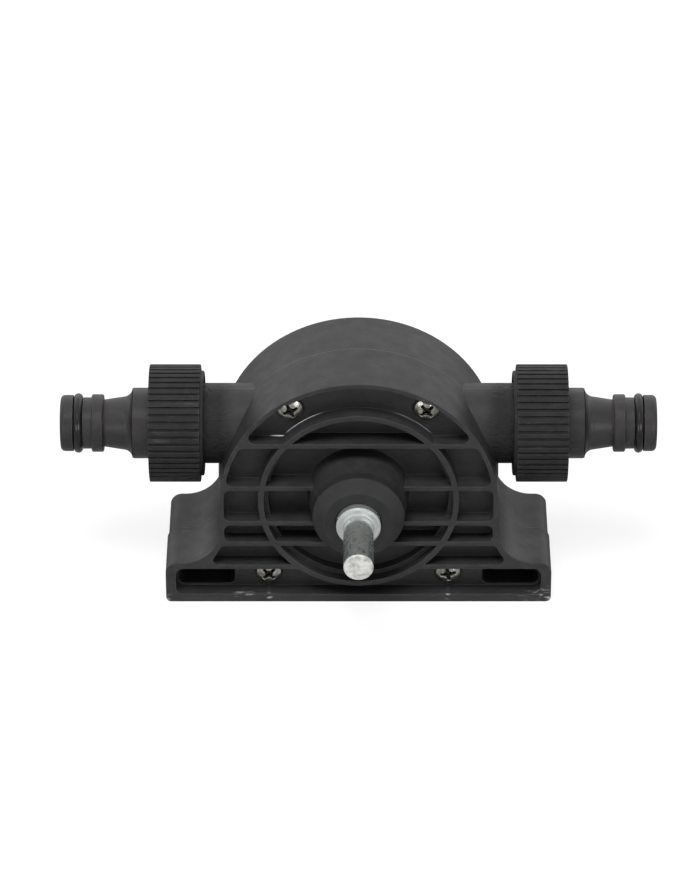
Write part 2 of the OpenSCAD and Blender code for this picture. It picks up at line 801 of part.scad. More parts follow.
// The bend that brings the bead to a radius, found by halving the interval
function bend_for(r, low = 1, high = 170, steps = 24) = steps == 0 ? (low + high) / 2 :
    tip_radius((low + high) / 2) > r ? bend_for(r, (low + high) / 2, high, steps - 1) :
    bend_for(r, low, (low + high) / 2, steps - 1);

module vane(bend) {
    curve_r = vane_len / rad(bend);
    reach = 2 * (curve_r + vane_t);
    translate([rubber_hub_r, curve_r]) {
        intersection() {
            difference() {
                circle(curve_r + vane_t / 2);
                circle(curve_r - vane_t / 2);
            }
            polygon(concat([[0, 0]], [for (i = [0:4]) reach * [sin(bend * i / 4), -cos(bend * i / 4)]]));
        }
        translate(curve_r * [sin(bend), -cos(bend)]) circle(vane_bead_r, $fn = 32);
    }
    translate([rubber_hub_r / 2, -vane_t / 2]) square([rubber_hub_r / 2 + fit_gap, vane_t]);
}

module impeller() {
    color(rubber) difference() {
        along_y(vane_y0, vane_y1) translate([0, shaft_z]) difference() {
            union() {
                circle(rubber_hub_r);
                for (i = [0:vane_count - 1]) rotate(first_vane_angle + i * vane_step)
                    vane(bend_for(i == 0 ? cam_tip_r : free_tip_r));
            }
            rotate(30) circle(metal_hub_r, $fn = 6);
        }
        turned([[0, vane_y0 - over], [thrust_r + vane_gap, vane_y0 - over],
            [thrust_r + vane_gap, hub_y0], [0, hub_y0]]);
    }
}

module retaining_ring() {
    color(steel) along_y(clip_y0 + fit_gap, clip_y1 - fit_gap) translate([0, shaft_z]) difference() {
        circle(clip_r);
        circle(drive_r - ring_groove + fit_gap);
        translate([-drive_r / 2, -metal_hub_r]) square([drive_r, metal_hub_r]);
    }
}

// Hose adaptor, its sealing ring, the washer and the union nut on each side
module hose_adaptor(side) {
    profile = concat(
        [[hose_bore_r, tip_x], [tip_r - tip_edge_r, tip_x]],
        arc_points([tip_r - tip_edge_r, tip_x - tip_edge_r], tip_edge_r, 75, 0, 5),
        [[tip_r, groove_end], [groove_r, groove_end], [groove_r, groove_x], [land_r, groove_x],
        [land_r, land_x], [collar_r - collar_edge, land_x], [collar_r, land_x - collar_edge],
        [collar_r, collar_x + collar_edge], [collar_r - collar_edge, collar_x], [neck_r, collar_x]],
        arc_points([flare_base_r + flare_r, flare_x], flare_r, 180, 265, 7),
        [[adaptor_r - collar_edge, big_end_x], [adaptor_r, big_end_x - collar_edge],
        [adaptor_r, flange_end], [flange_r, flange_end], [flange_r, flange_x], [wide_bore_r, flange_x],
        [wide_bore_r, nut_x1], [hose_bore_r, flare_x]]);
    color(warm_plastic) turned_spout(side, profile);
}

module hose_o_ring(side) {
    color(rubber) translate([side * (groove_x + groove_gap + hose_ring_d / 2), 0, spout_z])
        rotate([0, side * 90, 0]) rotate_extrude() translate([hose_ring_mid_r, 0])
            circle(hose_ring_d / 2, $fn = 32);
}

module sealing_washer(side) {
    color(rubber) turned_spout(side, [[washer_bore_r, spout_reach], [flange_r, spout_reach],
        [flange_r, flange_x], [washer_bore_r, flange_x]]);
}

module union_nut(side, tight_turn) {
    root_r = nut_r - nut_rib_h;
    outer_r = nut_r + nut_rib_h;
    rib_x0 = nut_x0 + nut_skirt;
    edge = nut_chamfer / 2;
    step = 360 / nut_rib_count;
    radii = [root_r, root_r, nut_r, nut_r];
    ribs = [for (i = [0:nut_rib_count - 1]) for (k = [0:3]) let (a = (i + nut_rib_shares[k]) * step)
        radii[k] * [cos(a), sin(a)]];
    color(black_plastic) difference() {
        intersection() {
            translate([0, 0, spout_z]) rotate([0, side * 90, 0]) rotate(tight_turn)
                translate([0, 0, nut_x0]) linear_extrude(height = nut_x1 - nut_x0) polygon(ribs);
            turned_spout(side, [[0, nut_x0], [nut_skirt_r - nut_chamfer, nut_x0],
                [nut_skirt_r, nut_x0 + nut_chamfer], [nut_skirt_r, rib_x0], [nut_r - edge, rib_x0],
                [outer_r, rib_x0 + edge + nut_rib_h], [outer_r, nut_x1 - edge - nut_rib_h],
                [nut_r - edge, nut_x1], [0, nut_x1]]);
        }
        turned_spout(side, [[0, nut_x0 - over], [nut_bore_r, nut_x0 - over], [nut_bore_r, nut_lip_x],
            [nut_hole_r, nut_lip_x], [nut_hole_r, nut_x1 + over], [0, nut_x1 + over]]);
    }
}

module left_hose_adaptor() { hose_adaptor(-1); }
module right_hose_adaptor() { hose_adaptor(1); }
module left_hose_o_ring() { hose_o_ring(-1); }
module right_hose_o_ring() { hose_o_ring(1); }
module left_sealing_washer() { sealing_washer(-1); }
module right_sealing_washer() { sealing_washer(1); }
module left_union_nut() { union_nut(-1, left_nut_turn); }
module right_union_nut() { union_nut(1, right_nut_turn); }

pump_body();
rear_cover();
cover_seal();
housing_screws();
front_bushing();
rear_bushing();
shaft_seal();
seal_spring();
thrust_washer();
drive_shaft();
drive_key();
impeller_hub();
impeller();
retaining_ring();
left_hose_adaptor();
left_hose_o_ring();
left_sealing_washer();
left_union_nut();
right_hose_adaptor();
right_hose_o_ring();
right_sealing_washer();
right_union_nut();
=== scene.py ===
import json
import math

import bmesh
import bpy
from mathutils import Euler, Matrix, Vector

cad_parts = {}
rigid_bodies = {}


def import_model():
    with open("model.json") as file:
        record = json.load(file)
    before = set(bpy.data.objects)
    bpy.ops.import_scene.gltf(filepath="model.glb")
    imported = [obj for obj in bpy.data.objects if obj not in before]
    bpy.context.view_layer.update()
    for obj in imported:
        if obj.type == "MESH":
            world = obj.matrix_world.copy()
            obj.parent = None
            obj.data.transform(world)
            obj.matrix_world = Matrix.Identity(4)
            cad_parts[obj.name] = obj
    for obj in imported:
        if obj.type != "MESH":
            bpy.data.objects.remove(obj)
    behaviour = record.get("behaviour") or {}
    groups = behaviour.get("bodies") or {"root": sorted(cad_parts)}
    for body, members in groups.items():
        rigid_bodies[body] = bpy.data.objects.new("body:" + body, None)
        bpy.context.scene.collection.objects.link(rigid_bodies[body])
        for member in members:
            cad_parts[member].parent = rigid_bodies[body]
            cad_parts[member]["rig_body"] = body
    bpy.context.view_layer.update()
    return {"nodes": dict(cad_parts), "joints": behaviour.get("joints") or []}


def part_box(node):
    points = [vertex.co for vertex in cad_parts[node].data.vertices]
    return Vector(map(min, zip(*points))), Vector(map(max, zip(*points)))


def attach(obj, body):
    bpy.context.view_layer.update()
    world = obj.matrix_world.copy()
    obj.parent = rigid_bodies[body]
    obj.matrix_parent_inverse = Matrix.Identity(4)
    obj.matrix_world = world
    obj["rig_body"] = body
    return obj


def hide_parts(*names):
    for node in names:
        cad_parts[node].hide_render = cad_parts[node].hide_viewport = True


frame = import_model()

MM = 0.001
SIDES = {"left": -1, "right": 1}

# Axes of the shaft and the spouts, and the thread's pitch, from the part's own joints
JOINTS = {joint["name"]: joint for joint in frame["joints"]}
SHAFT_Z = JOINTS["rotor_spin"]["pos_m"][2] / MM
SPOUT_Z = JOINTS["left_nut_turn"]["pos_m"][2] / MM
NUT_TURNS = JOINTS["left_nut_turn"]["range_deg"][1] / 360
THREAD_PITCH = JOINTS["left_adaptor_slide"]["range_m"][1] / MM / NUT_TURNS

# Other places and sizes of the construction. The housing's front and rear are equally far from its middle
SHANK_TIP_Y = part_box("drive_shaft")[0].y / MM
FRONT_Y = -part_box("pump_body")[1].y / MM
WEB_Y = -13.0
RING_R = 26.9
PIPE_R = 10.8

# Rounding: how near points are joined, and which edges stay as they are. Angles are in degrees
WELD_GAP = 0.0005
MERGE_GAP = 0.06
FLAT_ANGLE = 0.4
SHARP_ANGLE = 30.0
SHORTEST_EDGE = 0.05
SEAM_STEP = 0.02
HOUSING_ROUND = 0.18
SHAFT_ROUND = 0.1
NUT_ROUND = 0.12

# Threads of the spouts and nuts, which mesh with each other. A back is a ring inside the wall behind one
THREAD_ROOT_R = 12.04
THREAD_CREST_R = 13.2
THREAD_BACK_R = THREAD_ROOT_R - 1
NUT_ROOT_R = THREAD_CREST_R + 0.1
NUT_CREST_R = THREAD_ROOT_R + 0.07
NUT_BACK_R = THREAD_CREST_R + 0.5
THREAD_FADE = 0.9
SPOUT_THREAD = (43.4, 50.0)
NUT_THREAD = (42.6, 49.9)
THREAD_TURN_STEPS = 96
THREAD_PITCH_STEPS = 10

# The spouts' roots, where they grow out of the drum, by distance from the middle and from the pipe's skin
ROOT_X = (22, SPOUT_THREAD[0] - 3)
ROOT_REACH = 0.6

# Screws: upper right, upper left, lower right, lower left, with the turn of each cross in degrees
UPPER_SCREW_X, UPPER_SCREW_Z = 18.1, 58.7
LOWER_SCREW_X, LOWER_SCREW_Z = 24.2, 7.1
SCREW_PLACES = ((UPPER_SCREW_X, UPPER_SCREW_Z), (-UPPER_SCREW_X, UPPER_SCREW_Z),
    (LOWER_SCREW_X, LOWER_SCREW_Z), (-LOWER_SCREW_X, LOWER_SCREW_Z))
SCREW_TURNS = (40, 25, 10, 45)
SCREW_SEAT_Y = -12.7
SCREW_LEN = 27.6
SCREW_SHANK_R = 1.9
SCREW_TIP_R = 0.6
SCREW_TURN_STEPS = 120
SCREW_HEAD_RINGS = 60

# Pan head: the crown covers a share of the profile, of the radius and of the height, and a rim the rest
SCREW_HEAD_R = 3.5
SCREW_HEAD_H = 2.3
CROWN_PROFILE = 0.7
CROWN_R = 0.95
CROWN_H = 0.45
CROWN_POWER = 2.2

# Cross recess: arms that narrow and rise outwards, and a round pit in the middle
CROSS_REACH = 2.15
CROSS_DEPTH = 1.9
CROSS_HALF_W = 0.55
CROSS_NARROWING = 0.12
CROSS_WALL = 0.12
CROSS_END_WALL = 0.15
CROSS_RISE = 0.45
CROSS_PIT_R = 1.15

# Painted highlights along the creases in the web's corner just outside the ring. A pair says where a mark
# starts and is full
CREASE_R = RING_R + 0.2
CREASE_WIDTH = (0.15, 0.05)
CREASE_DEPTH = (0.4, 0.2)
CREASE_INNER_X = (9, 12)
CREASE_OUTER_X = (19.5, 18.5)
CREASE_Z = (SHAFT_Z + 17, SHAFT_Z + 18.2)
CREASE_SIDE_X = (0, -1)
FAINT_CREASE_HIGHLIGHT, STRONG_CREASE_HIGHLIGHT = 0.3, 0.9
SHORT_CREASE_HIGHLIGHT = ((-21.2, WEB_Y, 50.15), (2.6, 0.4, 0.22))

# Rubbed places on the base: centre, reach and strength
SCUFFS = (
    ((47.5, FRONT_Y, 3.5), (5, 2, 4), 0.5),
    ((50.5, FRONT_Y, 1.5), (3, 3, 2), 0.7),
    ((-31, FRONT_Y, 2.2), (3.5, 5, 1.2), 0.4),
    ((-51, -16, 1), (3, 3, 2), 0.5),
    ((LOWER_SCREW_X, FRONT_Y, 1.8), (1.2, 1, 1.2), 0.7),
    ((-LOWER_SCREW_X, FRONT_Y, 1.8), (1.2, 1, 1.2), 0.6),
)

# Where other marks of the housing and shank start and are full. Edges are paler, partly as wear and partly as
# painted highlight, as far from an edge as the first value below
WEAR_AND_HIGHLIGHT_EDGE = 0.3
SEAM_WIDTH = (0.16, 0.04)
NOSE_Y = (-22, -23)
NOSE_R = (13, 12.5)
NOSE_RING_PITCH = 0.45
SPOUT_X = (33, 37)
SPOUT_SKIN_R = (15, 14)
JAW_MARKS_Y = (SHANK_TIP_Y + 12, SHANK_TIP_Y + 5)
SAWN_TIP_Y = (SHANK_TIP_Y + 1, SHANK_TIP_Y)

# Where masks start and are full: by the cosine of an edge's turn, and by the share of a spot's reach
EDGE_TURN = (0.995, 0.86)
SPOT_REACH = (1.0, 0.4)
BEVEL_SAMPLES = 6

# A node that mixes colours takes them at these inputs
COLOUR_A, COLOUR_B = 6, 7

# The photograph's camera, found from about 30 points of the object
CAMERA_TARGET_Z = 42.36
CAMERA_DISTANCE = 1351.7
CAMERA_ELEVATION = 31.92
FOCAL_PX = 5025.4
PHOTO_W_PX, PHOTO_H_PX = 700, 869
CENTRE_X_PX = 358.5
SENSOR = 36.0

# Studio in metres and watts. The key isn't seen in reflections and the three glints are
FLOOR_HALF = 3.0
FLOOR_DROP = 0.05 * MM
LAMP_AIM = (0, 0, 0.04)
KEY_PLACE, KEY_SIZE, KEY_WATTS = (-0.1, -0.42, 1.1), (0.6, 0.5), 25
GLINT_SIZE = (0.7, 0.5)
GLINTS = {"left_glint": ((-0.8, -1.25, 0.3), 2.2), "right_glint": ((0.8, -1.2, 0.36), 3.2),
    "top_glint": ((-0.1, -0.55, 1.0), 0.8)}

# How bright the world and the floor are to each kind of ray
WORLD_DIFFUSE = 0.2
WORLD_FRONT, WORLD_BACK = 0.42, 0.97
FRONT_WAY, BACK_WAY = -0.3, 0.5
FLOOR_GLOW = 0.87
FLOOR_MIRRORED = 0.35


# Small helpers
def linear(hex_code):
    """Turns an sRGB hex code into linear red, green, blue and alpha."""
    channels = [int(hex_code[i:i + 2], 16) / 255 for i in (1, 3, 5)]
    return [c / 12.92 if c <= 0.04045 else ((c + 0.055) / 1.055) ** 2.4 for c in channels] + [1.0]


def add(tree, kind, inputs=None, **settings):
    """Adds a node with its settings. An input takes a value, a socket, or a node, whose first live output
    is linked to it."""
    made = tree.nodes.new(kind)
    for name, value in settings.items():
        setattr(made, name, value)
    for name, value in (inputs or {}).items():
        if isinstance(value, bpy.types.Node):
            value = next(socket for socket in value.outputs if socket.enabled)
        if isinstance(value, bpy.types.NodeSocket):
            tree.links.new(value, made.inputs[name])
        else:
            made.inputs[name].default_value = value
    return made


def new_object(name, mesh, body=None, material=None, replaced=()):
    """Links a mesh as a piece that rides on a body and may stand for CAD nodes."""
    made = bpy.data.objects.new(name, mesh)
    bpy.context.scene.collection.objects.link(made)
    if material:
        mesh.materials.clear()
        mesh.materials.append(material)
    if replaced:
        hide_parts(*replaced)
    if body:
        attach(made, body)
    return made


def frozen(obj):
    """The mesh of an object with its modifiers applied, as plain data."""
    bpy.context.view_layer.update()
    depsgraph = bpy.context.evaluated_depsgraph_get()
    return bpy.data.meshes.new_from_object(obj.evaluated_get(depsgraph), depsgraph=depsgraph)


def drop(obj):
    """Removes an object, and its mesh if nothing else uses it."""
    mesh = obj.data
    bpy.data.objects.remove(obj)
    if mesh.users == 0:
        bpy.data.meshes.remove(mesh)


def grid_mesh(name, rows):
    """A smooth skin over rows of points in millimetres, each row closed on itself."""
    width = len(rows[0])
    points = [tuple(c * MM for c in p) for row in rows for p in row]
    faces = []
    for i in range(len(rows) - 1):
        for k in range(width):
            a, b = i * width + k, i * width + (k + 1) % width
            faces.append((a, b, b + width, a + width))
    mesh = bpy.data.meshes.new(name)
    mesh.from_pydata(points, [], faces)
    mesh.shade_smooth()
    return mesh


# Patterns that the materials share
def start_material(name):
    """An empty material, its node tree and the coordinates of the object it is on."""
    made = bpy.data.materials.new(name)
    made.use_nodes = True
    tree = made.node_tree
    tree.nodes.clear()
    return made, tree, add(tree, "ShaderNodeTexCoord").outputs["Object"]


def blots(width):
    """The scale of a noise whose blots are about this many millimetres wide."""
    return 1 / (width * MM)


def layered(tree, colour, layers):
    """A colour under layers, each given by its mask, its strength and its hex code."""
    for mask, strength, hex_code in layers:
        share = add(tree, "ShaderNodeMath", {0: mask, 1: strength}, operation="MULTIPLY")
        colour = add(tree, "ShaderNodeMix", {0: share, COLOUR_A: colour, COLOUR_B: linear(hex_code)},
            data_type="RGBA")
    return colour


def overlap(tree, *bands):
    """The product of bands, each given by a distance and the places where the band starts and is full."""
    share = 1.0
    for distance, (start, full) in bands:
        band = add(tree, "ShaderNodeMapRange", {"Value": distance, "From Min": start * MM,
            "From Max": full * MM})
        share = add(tree, "ShaderNodeMath", {0: share, 1: band}, operation="MULTIPLY")
    return share


def away(tree, value, middle=0.0):
    """How far a coordinate is from a middle given in millimetres, on either side."""
    offset = add(tree, "ShaderNodeMath", {0: value, 1: middle * MM}, operation="SUBTRACT")
    return add(tree, "ShaderNodeMath", {0: offset}, operation="ABSOLUTE")


def off_axis(tree, coords, across, axis_z):
    """How far a place is from a level axis; across has ones for the axes that count and nought along it."""
    flat = add(tree, "ShaderNodeVectorMath", {0: coords, 1: across}, operation="MULTIPLY")
    return add(tree, "ShaderNodeVectorMath", {0: flat, 1: (0, 0, axis_z * MM)}, operation="DISTANCE")


def edge_mask(tree, radius):
    """One along outer and inner edges, nought on faces, from the turn of a rounded normal."""
    rounded = add(tree, "ShaderNodeBevel", {"Radius": radius * MM}, samples=BEVEL_SAMPLES)
    plain = add(tree, "ShaderNodeNewGeometry").outputs["Normal"]
    turn = add(tree, "ShaderNodeVectorMath", {0: rounded, 1: plain}, operation="DOT_PRODUCT")
    return add(tree, "ShaderNodeMapRange", {"Value": turn, "From Min": EDGE_TURN[0],
        "From Max": EDGE_TURN[1]})


def spot_mask(tree, coords, centre, reach):
    """One inside a soft ellipsoid with the given centre and reach along each axis, nought outside."""
    place = add(tree, "ShaderNodeMapping", {"Vector": coords, "Location": [c * MM for c in centre],
        "Scale": [r * MM for r in reach]}, vector_type="TEXTURE")
    far = add(tree, "ShaderNodeVectorMath", {0: place}, operation="LENGTH")
    return add(tree, "ShaderNodeMapRange", {"Value": far, "From Min": SPOT_REACH[0],
        "From Max": SPOT_REACH[1]})


# Marks of this one housing, and the places where it gets painted highlights and painted shade
def crease_highlight_mask(tree, coords):
    """The strength of the painted highlights on the creases beside the ring, which are stronger on the left.
    """
    place = add(tree, "ShaderNodeSeparateXYZ", {"Vector": coords}).outputs
    wide = away(tree, place["X"])
    beside = away(tree, off_axis(tree, coords, (1, 0, 1), SHAFT_Z), CREASE_R)
    long = overlap(tree, (beside, CREASE_WIDTH), (away(tree, place["Y"], WEB_Y), CREASE_DEPTH),
        (wide, CREASE_INNER_X), (wide, CREASE_OUTER_X), (place["Z"], CREASE_Z))
    side = add(tree, "ShaderNodeMapRange", {"Value": place["X"], "From Min": CREASE_SIDE_X[0] * MM,
        "From Max": CREASE_SIDE_X[1] * MM, "To Min": FAINT_CREASE_HIGHLIGHT, "To Max": STRONG_CREASE_HIGHLIGHT})
    long = add(tree, "ShaderNodeMath", {0: long, 1: side}, operation="MULTIPLY")
    short = spot_mask(tree, coords, *SHORT_CREASE_HIGHLIGHT)
    return add(tree, "ShaderNodeMath", {0: long, 1: short}, operation="MAXIMUM")


def scuff_mask(tree, coords):
    """The strength of the rubbed places on the base and of the grains of moulding dust."""
    long_marks = add(tree, "ShaderNodeMapping", {"Vector": coords, "Scale": (1 / 4, 1, 1 / 1.5)})
    rubs = add(tree, "ShaderNodeTexNoise", {"Vector": long_marks, "Scale": blots(0.7), "Detail": 3.0})
    broken = add(tree, "ShaderNodeMapRange", {"Value": rubs, "From Min": 0.52, "From Max": 0.62})
    # Dust about 0.3 mm across, coarser than real dust so that it shows, in one of five cells of 6 mm
    cells = add(tree, "ShaderNodeTexVoronoi", {"Vector": coords, "Scale": blots(6)}).outputs
    near = add(tree, "ShaderNodeMapRange", {"Value": cells["Distance"], "From Min": 0.032, "From Max": 0.018,
        "To Max": 0.6})
    draw = add(tree, "ShaderNodeSeparateXYZ", {"Vector": cells["Color"]})
    picked = add(tree, "ShaderNodeMapRange", {"Value": draw, "From Min": 0.75, "From Max": 0.8})
    marks = add(tree, "ShaderNodeMath", {0: near, 1: picked}, operation="MULTIPLY")
    for centre, reach, strength in SCUFFS:
        spot = spot_mask(tree, coords, centre, reach)
        rubbed = add(tree, "ShaderNodeMath", {0: spot, 1: broken}, operation="MULTIPLY")
        weak = add(tree, "ShaderNodeMath", {0: rubbed, 1: strength}, operation="MULTIPLY")
        marks = add(tree, "ShaderNodeMath", {0: marks, 1: weak}, operation="MAXIMUM")
    return marks


def boss_nose(tree, coords):
    """One on the nose of the boss, nought elsewhere, which the housing darkens with painted shade, and the
    fine turned rings that the mould left on it.
    """
    along = add(tree, "ShaderNodeSeparateXYZ", {"Vector": coords}).outputs["Y"]
    far = off_axis(tree, coords, (1, 0, 1), SHAFT_Z)
    nose = overlap(tree, (along, NOSE_Y), (far, NOSE_R))
    phase = add(tree, "ShaderNodeMath", {0: far, 1: 2 * math.pi * blots(NOSE_RING_PITCH)},
        operation="MULTIPLY")
    wave = add(tree, "ShaderNodeMath", {0: phase}, operation="SINE")
    return nose, add(tree, "ShaderNodeMath", {0: wave, 1: nose}, operation="MULTIPLY")


def spout_mask(tree, coords):
    """One on the spouts outside the drum, nought on the rest of the housing. The housing darkens the spouts
    with painted shade there.
    """
    side = add(tree, "ShaderNodeSeparateXYZ", {"Vector": coords})
    far = off_axis(tree, coords, (0, 1, 1), SPOUT_Z)
    return overlap(tree, (away(tree, side), SPOUT_X), (far, SPOUT_SKIN_R))


def seam_mask(tree, coords):
    """One on the mould's parting line across the drum."""
    along = add(tree, "ShaderNodeSeparateXYZ", {"Vector": coords}).outputs["Y"]
    return overlap(tree, (away(tree, along), SEAM_WIDTH))


# Materials
def wear_and_highlight_layers(tree, coords, cloud, wear_and_highlight):
    """Layers of handled plastic: faint rub marks in places, and edges drawn paler here and there, partly as
    wear and partly as painted highlights.
    """
    # Rub marks are the peaks of blots 7 mm long and 2.4 mm wide, coarser than real ones so that they show
    long_marks = add(tree, "ShaderNodeMapping", {"Vector": coords, "Scale": (1 / 9, 1 / 3, 1 / 3)})
    rubs = add(tree, "ShaderNodeTexNoise", {"Vector": long_marks, "Scale": blots(0.8)})
    streaks = add(tree, "ShaderNodeMapRange", {"Value": rubs, "From Min": 0.66, "From Max": 0.76})
    in_places = add(tree, "ShaderNodeMapRange", {"Value": cloud, "From Min": 0.45, "From Max": 0.75,
        "To Max": 0.22})
    wear = add(tree, "ShaderNodeTexNoise", {"Vector": coords, "Scale": blots(2.2), "Detail": 3.0})
    uneven = add(tree, "ShaderNodeMapRange", {"Value": wear, "From Min": 0.35, "From Max": 0.7,
        "To Min": 0.05, "To Max": 0.35})
    return [(streaks, in_places, wear_and_highlight), (edge_mask(tree, WEAR_AND_HIGHLIGHT_EDGE), uneven, wear_and_highlight)]


def moulded_plastic(name, dark, pale, wear_and_highlight, roughness, sheen, housing=False):
    """Injection moulded, carbon black filled thermoplastic. The eye sees a satin skin with a very fine
    spark-eroded grain, cloudy flow marks, faint rub marks and paler edges, partly worn and partly painted
    highlights. On the housing the creases beside the ring get painted highlights, and the boss's nose and the
    spouts painted shade."""
    made, tree, coords = start_material(name)
    cloud = add(tree, "ShaderNodeTexNoise", {"Vector": coords, "Scale": blots(9), "Detail": 3.0,
        "Distortion": 1.2})
    level = add(tree, "ShaderNodeMapping", {"Vector": coords, "Scale": (1, 1, 1 / 0.45)})
    flow = add(tree, "ShaderNodeTexNoise", {"Vector": level, "Scale": blots(5), "Distortion": 2.6})
    mottled = add(tree, "ShaderNodeMix", {"Factor": 0.4, "A": cloud, "B": flow})
    spread = add(tree, "ShaderNodeMapRange", {"Value": mottled, "From Min": 0.38, "From Max": 0.62})
    colour = add(tree, "ShaderNodeMix", {0: spread, COLOUR_A: linear(dark), COLOUR_B: linear(pale)},
        data_type="RGBA")
    layers = wear_and_highlight_layers(tree, coords, cloud, wear_and_highlight)
    patches = add(tree, "ShaderNodeTexNoise", {"Vector": coords, "Scale": blots(4), "Detail": 4.0})
    rough = add(tree, "ShaderNodeMapRange", {"Value": patches, "From Min": 0.3, "From Max": 0.7,
        "To Min": roughness - 0.05, "To Max": roughness + 0.06})
    # Grain of about 0.15 mm, drawn at 0.35 mm so that it shows
    grain = add(tree, "ShaderNodeTexNoise", {"Vector": coords, "Scale": blots(0.35), "Detail": 3.0,
        "Roughness": 0.6})
    reliefs = [(grain, 0.012), (flow, 0.05)]
    if housing:
        scuffs, spouts = scuff_mask(tree, coords), spout_mask(tree, coords)
        seam, crease_highlights = seam_mask(tree, coords), crease_highlight_mask(tree, coords)
        nose, rings = boss_nose(tree, coords)
        wavy = add(tree, "ShaderNodeMath", {0: flow, 1: spouts}, operation="MULTIPLY")
        # The creases get painted highlights, and the boss's nose and the spouts are darkened with painted
        # shade
        layers += [(seam, 0.25, wear_and_highlight), (scuffs, 1.0, "#8d8d8f"), (crease_highlights, 1.0, "#c4c4c4"),
            (nose, 0.4, "#101010"), (spouts, 0.7, "#101010")]
        reliefs += [(seam, 0.05), (wavy, 0.3), (rings, 0.012)]
        rough = add(tree, "ShaderNodeMath", {0: scuffs, 1: 0.2, 2: rough}, operation="MULTIPLY_ADD")
        sheen = add(tree, "ShaderNodeMapRange", {"Value": spouts, "To Min": sheen, "To Max": 0.6 * sheen})
    normal = add(tree, "ShaderNodeNewGeometry").outputs["Normal"]
    for height, depth in reliefs:
        normal = add(tree, "ShaderNodeBump", {"Height": height, "Distance": depth * MM, "Normal": normal})
    skin = add(tree, "ShaderNodeBsdfPrincipled", {"Base Color": layered(tree, colour, layers),
        "Roughness": rough, "Specular IOR Level": sheen, "Normal": normal})
    add(tree, "ShaderNodeOutputMaterial", {"Surface": skin})
    return made


def nitrile_rubber(name, shade, roughness):
    """Moulded nitrile rubber: deep black, slightly greasy sheen, smooth."""
    made, tree, coords = start_material(name)
    cloud = add(tree, "ShaderNodeTexNoise", {"Vector": coords, "Scale": blots(1.5)})
    colour = add(tree, "ShaderNodeMix", {0: cloud, COLOUR_A: linear(shade), COLOUR_B: linear("#161617")},
        data_type="RGBA")
    rough = add(tree, "ShaderNodeMapRange", {"Value": cloud, "From Min": 0.3, "From Max": 0.7,
        "To Min": roughness, "To Max": roughness + 0.12})
    # Grain of about 0.1 mm, drawn at 0.3 mm so that it shows
    grain = add(tree, "ShaderNodeTexNoise", {"Vector": coords, "Scale": blots(0.3)})
    normal = add(tree, "ShaderNodeBump", {"Height": grain, "Distance": 0.006 * MM})
    skin = add(tree, "ShaderNodeBsdfPrincipled", {"Base Color": colour, "Roughness": rough, "IOR": 1.52,
        "Normal": normal})
    add(tree, "ShaderNodeOutputMaterial", {"Surface": skin})
    return made


def turned_steel(name, bright, dull, roughness, scuff=0.5, dents=0.02, shank=False):
    """Turned steel, zinc plated on the shaft and bare on the small parts: bright bluish grey metal with fine
    rings round its axis and dull scuffs."""
    made, tree, coords = start_material(name)
    # Turning rings of about 0.1 mm, drawn at 0.25 mm so that they show
    round_axis = add(tree, "ShaderNodeMapping", {"Vector": coords, "Scale": (1 / 60, 1, 1 / 60)})
    rings = add(tree, "ShaderNodeTexNoise", {"Vector": round_axis, "Scale": blots(0.25)})
    scuffs = add(tree, "ShaderNodeTexNoise", {"Vector": coords, "Scale": blots(1.6), "Detail": 5.0,
        "Roughness": 0.65, "Distortion": 0.8})
    spots = add(tree, "ShaderNodeMapRange", {"Value": scuffs, "From Min": 0.5, "From Max": 0.68})
    dulled = add(tree, "ShaderNodeMath", {0: spots, 1: scuff}, operation="MULTIPLY")
    if shank:
        marked = jaw_marks(tree, coords)
        dulled = add(tree, "ShaderNodeMath", {0: dulled, 1: marked}, operation="MAXIMUM")
    colour = add(tree, "ShaderNodeMix", {0: dulled, COLOUR_A: linear(bright), COLOUR_B: linear(dull)},
        data_type="RGBA")
    fine = add(tree, "ShaderNodeMapRange", {"Value": rings, "From Min": 0.3, "From Max": 0.7,
        "To Min": roughness, "To Max": roughness + 0.04})
    rough = add(tree, "ShaderNodeMath", {0: spots, 1: 0.14, 2: fine}, operation="MULTIPLY_ADD")
    dented = add(tree, "ShaderNodeBump", {"Height": scuffs, "Distance": dents * MM})
    normal = add(tree, "ShaderNodeBump", {"Height": rings, "Distance": 0.001 * MM, "Normal": dented})
    looks = {"Base Color": colour, "Metallic": 1.0, "Roughness": rough, "Normal": normal}
    if shank:
        looks.update(faced_ends(tree, coords, colour, rough))
    skin = add(tree, "ShaderNodeBsdfPrincipled", looks)
    add(tree, "ShaderNodeOutputMaterial", {"Surface": skin})
    return made


def jaw_marks(tree, coords):
    """Dull marks that the chuck's jaws have left on the shank's last 12 mm, strongest towards its tip."""
    along = add(tree, "ShaderNodeSeparateXYZ", {"Vector": coords}).outputs["Y"]
    long_marks = add(tree, "ShaderNodeMapping", {"Vector": coords, "Scale": (1, 1 / 2, 1)})
    jaws = add(tree, "ShaderNodeTexNoise", {"Vector": long_marks, "Scale": blots(1.3), "Detail": 3.0,
        "Roughness": 0.6})
    marked = add(tree, "ShaderNodeMapRange", {"Value": jaws, "From Min": 0.48, "From Max": 0.64,
        "To Max": 0.75})
    gripped = overlap(tree, (along, JAW_MARKS_Y))
    return add(tree, "ShaderNodeMath", {0: gripped, 1: marked}, operation="MULTIPLY")


